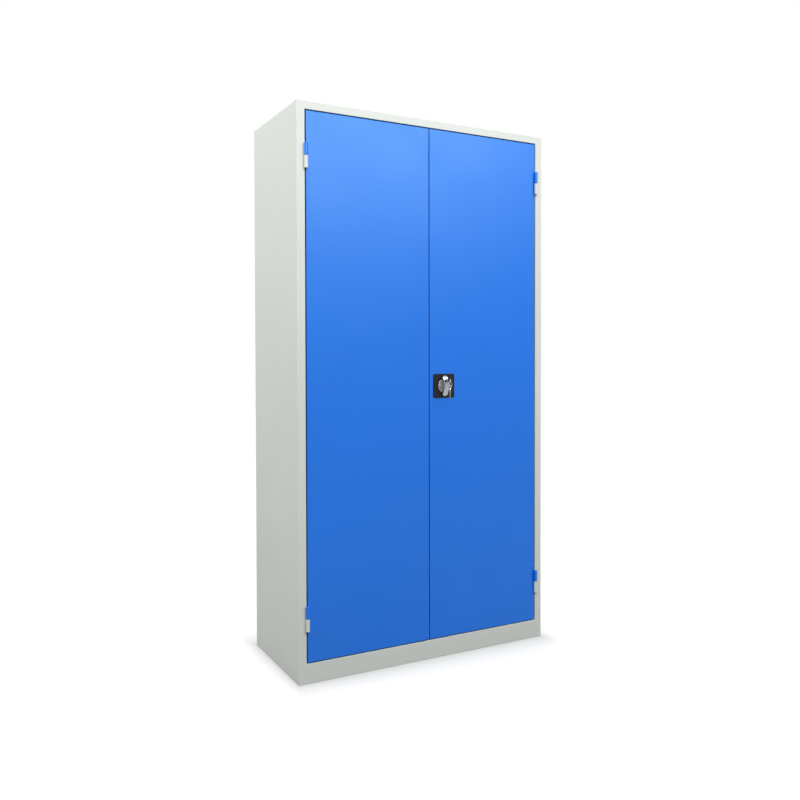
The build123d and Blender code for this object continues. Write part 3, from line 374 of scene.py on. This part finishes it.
# Galvanised sheet is for the shelves, and each other finish has the name of its slot in the
# record. The numbers are the roughness, then the specular level of a coat, the grain's scale and
# depth of a metal, or the grain's depth of a moulding.
finishes = {
    "frame_paint": powder_coat("frame_paint", LIGHT_GREY, 0.45, 0.22, NO_TINT),
    "door_paint": powder_coat("door_paint", DOOR_BLUE, 0.38, 0.62, DOOR_TINT),
    "zinc_plate": zinc("zinc_plate"),
    "galvanised": galvanised("galvanised"),
    "guide_plastic": moulded("guide_plastic", GUIDE_BLACK, 0.5, 0.00001),
    "plate_plastic": moulded("plate_plastic", PLATE_BLACK, 0.40, 0.00001),
    "knob_chrome": metal("knob_chrome", CHROME, 0.24, 600.0, 0.000004),
    "cylinder_brass": metal("cylinder_brass", DARK_BRASS, 0.33, 900.0, 0.000004),
    "key_nickel": metal("key_nickel", NICKEL, 0.14, 900.0, 0.000002),
    "buffer_rubber": moulded("buffer_rubber", RUBBER_BLACK, 0.7, 0.00002),
}

SHELVES = ("shelf_1", "shelf_2", "shelf_3", "shelf_4")


def paint_nodes():
    """Each node takes the finish of its slot in the record, and the shelves are galvanised."""
    for entry in frame["record"]["subparts"]:
        name = entry["node"]
        finish = "galvanised" if name in SHELVES else entry["material_slot"]
        node = frame["nodes"][name]
        node.data.materials.clear()
        node.data.materials.append(finishes[finish])


# ---------------------------------------------------------------- painted welds

WELD_HALF_WIDTH = 0.0014
WELD_END_SHARE = 0.7
WELD_BACK_SHARE = 0.5
WELD_CROWN = 0.00008
WELD_SUNK_EDGE = 0.00005
WELD_DEPTH = 0.0006
WELD_STEPS = 40
WELD_STRIPS = 8
WELD_FADE = 0.0012
GROOVE_HALF = 0.00075
OPEN_SEAM = 0.0165
FACE_SLACK = 0.00001


def weld_outline(x, front, z, fade):
    """A weld's outline at one height: its crown from left to right, then its narrower back."""
    half_width = WELD_HALF_WIDTH * (WELD_END_SHARE + (1 - WELD_END_SHARE) * fade)
    outline = []
    for strip in range(WELD_STRIPS + 1):
        across = 2 * strip / WELD_STRIPS - 1
        crown = WELD_CROWN * fade * (1 - across * across)
        sunk = WELD_SUNK_EDGE * across * across
        outline.append((x + across * half_width, front - crown + sunk, z))
    for side in (1, -1):
        outline.append((x + side * WELD_HALF_WIDTH * WELD_BACK_SHARE, front + WELD_DEPTH, z))
    return outline


def add_weld(name, x, front, low, high):
    """A weld ground down and painted over, in the groove between a post and the rail beside it."""
    mesh = bmesh.new()
    rows = []
    for step in range(WELD_STEPS + 1):
        z = low + (high - low) * step / WELD_STEPS
        fade = math.sqrt(min(1, (z - low) / WELD_FADE, (high - z) / WELD_FADE))
        rows.append([mesh.verts.new(point) for point in weld_outline(x, front, z, fade)])
    for below, above in zip(rows, rows[1:]):
        for index in range(len(below)):
            after = (index + 1) % len(below)
            mesh.faces.new((below[index], below[after], above[after], above[index]))
    mesh.faces.new(list(reversed(rows[0])))
    mesh.faces.new(rows[-1])
    bmesh.ops.recalc_face_normals(mesh, faces=mesh.faces)
    for face in mesh.faces:
        face.smooth = True
    data = bpy.data.meshes.new(name)
    mesh.to_mesh(data)
    mesh.free()
    data.materials.append(finishes["frame_paint"])
    weld = bpy.data.objects.new(name, data)
    bpy.context.scene.collection.objects.link(weld)
    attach(weld, "carcass")


def add_welds():
    """Both rails are welded to the posts; one seam stays open near the floor."""
    for rail in ("header_rail", "plinth"):
        low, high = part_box(rail)
        vertices = frame["nodes"][rail].data.vertices
        face = [vertex.co.z for vertex in vertices if vertex.co.y < low[1] + FACE_SLACK]
        for side, x in (("left", low[0] - GROOVE_HALF), ("right", high[0] + GROOVE_HALF)):
            is_open = rail == "plinth" and side == "right"
            bottom = min(face) + (OPEN_SEAM if is_open else 0)
            add_weld(f"{rail}_weld_{side}", x, low[1], bottom, max(face))


# ---------------------------------------------------------------- floor, backdrop and lamps

FLOOR_HALF = 14.0
FLOOR_DROP = 0.0005
FLOOR_ALBEDO = 0.19
FLOOR_DISTANCES = (0.9, 3.5)
FLOOR_WHITES = (0.88, 1.0)
FOOTPRINT = (0.5, 0.23, 0.0)
# A painted contact shadow on the floor: how far it reaches, how dark it is at the footprint, and
# how much sooner it fades beside the left and right sides.
CONTACT_REACH = 0.085
PAINTED_CONTACT_SHADOW = 0.40
CONTACT_SQUEEZE = (2.6, 1.0, 1.0)
SKY_HEIGHTS = (-0.2, 0.9)
SKY_LEVELS = (0.10, 0.34)
WHITE = (1, 1, 1, 1)

# Each lamp's place, the point that it aims at, its width and height, and its watts.
SOFTBOXES = {
    "right_softbox": ((1.0, -3.4, 3.3), (0, -0.2, 1.5), (3.2, 2.1), 114),
    "left_softbox": ((-3.3, 0.2, 3.0), (-0.5, 0, 1.4), (2.4, 2.0), 104),
    "back_softbox": ((1.9, 3.4, 2.6), (0, 0.2, 1.1), (2.6, 1.8), 75),
    "front_softbox": ((-1.2, -3.4, 3.8), (0, -0.2, 1.4), (2.0, 1.4), 99),
}
# The back lamp would lay a glare on the roof in views from the front.
WITHOUT_GLARE = ("back_softbox",)


def white_to_the_eye(tree, lit):
    """Adds white to a lit floor for the looking rays alone, so that the backdrop is white.

    The floor keeps the object's shadow, and a painted contact shadow makes it a little darker
    still beside the footprint.
    """
    place = tree.nodes.new("ShaderNodeTexCoord").outputs["Object"]
    distance = vector_math(tree, "LENGTH", place, output="Value")
    white = map_range(tree, distance, FLOOR_DISTANCES, FLOOR_WHITES)
    mirrored = vector_math(tree, "ABSOLUTE", place)
    beyond = vector_math(tree, "SUBTRACT", mirrored, FOOTPRINT)
    outside = vector_math(tree, "MAXIMUM", beyond, (0, 0, 0))
    squeezed = vector_math(tree, "MULTIPLY", outside, CONTACT_SQUEEZE)
    away = vector_math(tree, "LENGTH", squeezed, output="Value")
    # Painted contact shadow: the white glow is lowered beside the footprint and fades with
    # distance from it.
    fade = scalar_math(tree, "EXPONENT", scalar_math(tree, "MULTIPLY", away, -1 / CONTACT_REACH))
    dark = scalar_math(tree, "MULTIPLY", fade, PAINTED_CONTACT_SHADOW)
    glow = tree.nodes.new("ShaderNodeEmission")
    tree.links.new(scalar_math(tree, "SUBTRACT", white, dark), glow.inputs["Strength"])
    plus = tree.nodes.new("ShaderNodeAddShader")
    tree.links.new(lit, plus.inputs[0])
    tree.links.new(glow.outputs[0], plus.inputs[1])
    return mix_shaders(tree, looking_ray(tree), lit, plus.outputs[0])


def add_floor():
    mesh = bpy.data.meshes.new("floor")
    signs = ((-1, -1), (1, -1), (1, 1), (-1, 1))
    corners = [(x * FLOOR_HALF, y * FLOOR_HALF, -FLOOR_DROP) for x, y in signs]
    mesh.from_pydata(corners, [], [(0, 1, 2, 3)])
    floor = bpy.data.objects.new("floor", mesh)
    bpy.context.scene.collection.objects.link(floor)
    material = bpy.data.materials.new("floor")
    material.use_nodes = True
    tree = material.node_tree
    tree.nodes.clear()
    diffuse = tree.nodes.new("ShaderNodeBsdfDiffuse")
    diffuse.inputs["Color"].default_value = (FLOOR_ALBEDO, FLOOR_ALBEDO, FLOOR_ALBEDO, 1)
    output = tree.nodes.new("ShaderNodeOutputMaterial")
    tree.links.new(white_to_the_eye(tree, diffuse.outputs[0]), output.inputs["Surface"])
    mesh.materials.append(material)


def add_world():
    """A soft dome, dimmer low down, that the eye and bright surfaces see as plain white."""
    world = bpy.data.worlds.new("studio")
    bpy.context.scene.world = world
    world.use_nodes = True
    tree = world.node_tree
    tree.nodes.clear()
    direction = tree.nodes.new("ShaderNodeTexCoord")
    height = tree.nodes.new("ShaderNodeSeparateXYZ")
    tree.links.new(direction.outputs["Generated"], height.inputs[0])
    level = map_range(tree, height.outputs["Z"], SKY_HEIGHTS, SKY_LEVELS)
    dome = tree.nodes.new("ShaderNodeBackground")
    white = tree.nodes.new("ShaderNodeBackground")
    for background in (dome, white):
        background.inputs["Color"].default_value = WHITE
    tree.links.new(level, dome.inputs["Strength"])
    seen = mix_shaders(tree, looking_ray(tree), dome.outputs[0], white.outputs[0])
    output = tree.nodes.new("ShaderNodeOutputWorld")
    tree.links.new(seen, output.inputs["Surface"])


def add_softbox(name, place, aim, size, watts):
    data = bpy.data.lights.new(name, "AREA")
    data.shape = "RECTANGLE"
    data.size, data.size_y = size
    data.energy = watts
    lamp = bpy.data.objects.new(name, data)
    lamp.visible_glossy = name not in WITHOUT_GLARE
    lamp.location = place
    lamp.rotation_euler = (Vector(aim) - Vector(place)).to_track_quat("-Z", "Y").to_euler()
    bpy.context.scene.collection.objects.link(lamp)


paint_nodes()
add_welds()
add_camera()
add_floor()
add_world()
for softbox, settings in SOFTBOXES.items():
    add_softbox(softbox, *settings)

view = bpy.context.scene.view_settings
view.view_transform = "Standard"
